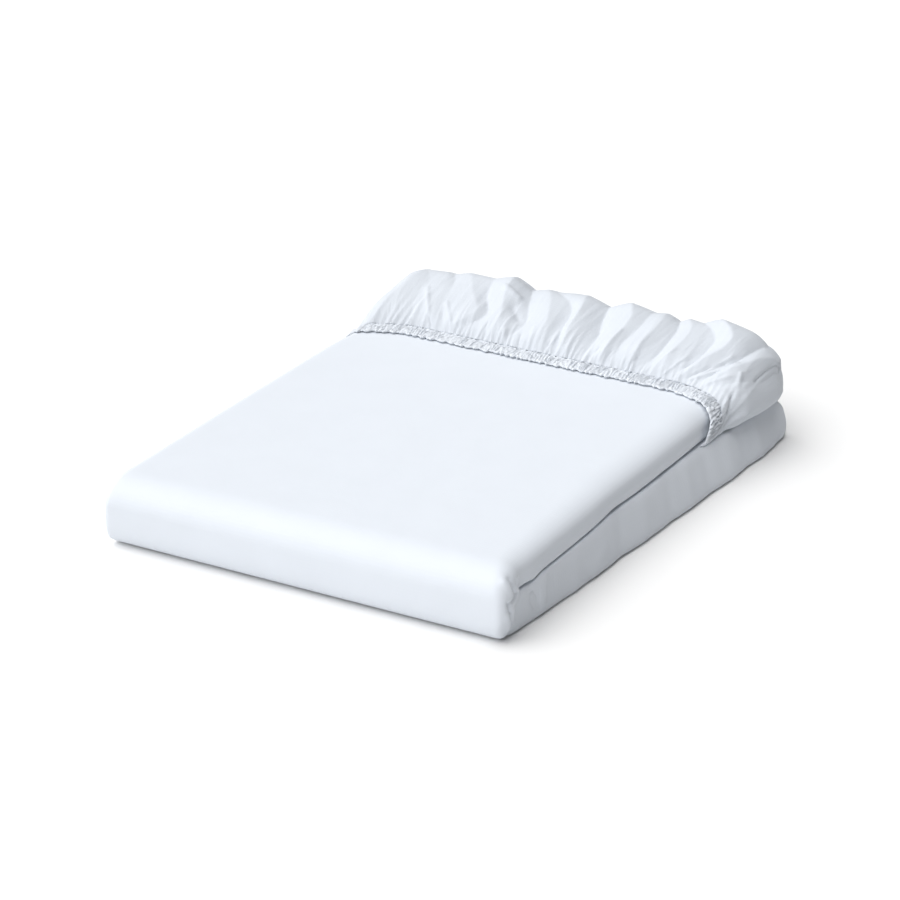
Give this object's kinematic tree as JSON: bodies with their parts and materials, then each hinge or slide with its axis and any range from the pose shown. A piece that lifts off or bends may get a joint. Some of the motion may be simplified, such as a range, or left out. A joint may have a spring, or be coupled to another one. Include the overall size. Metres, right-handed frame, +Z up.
{
  "type": "folded mattress protector",
  "caption": "Folded fitted mattress protector: a smooth cloth packet doubled over at the front, with its gathered skirt and ruched elastic edge turned over the back end.",
  "frame": {"origin": "under the middle of the folded packet, on the surface that it rests on", "axes": "+Z up, +Y from the front fold towards the gathered back end, +X to the right when seen from the front fold"},
  "size_m": [0.3024, 0.3882, 0.071],
  "materials": {
    "panel_cloth": "smooth white woven cotton blend, matt",
    "skirt_cloth": "light white woven cloth, gathered, matt",
    "elastic_binding": "white ruched binding drawn up on elastic, matt"
  },
  "bodies": {
    "root": {"panel": "panel_cloth", "skirt": "skirt_cloth", "elastic_edge": "elastic_binding"}
  },
  "joints": []
}
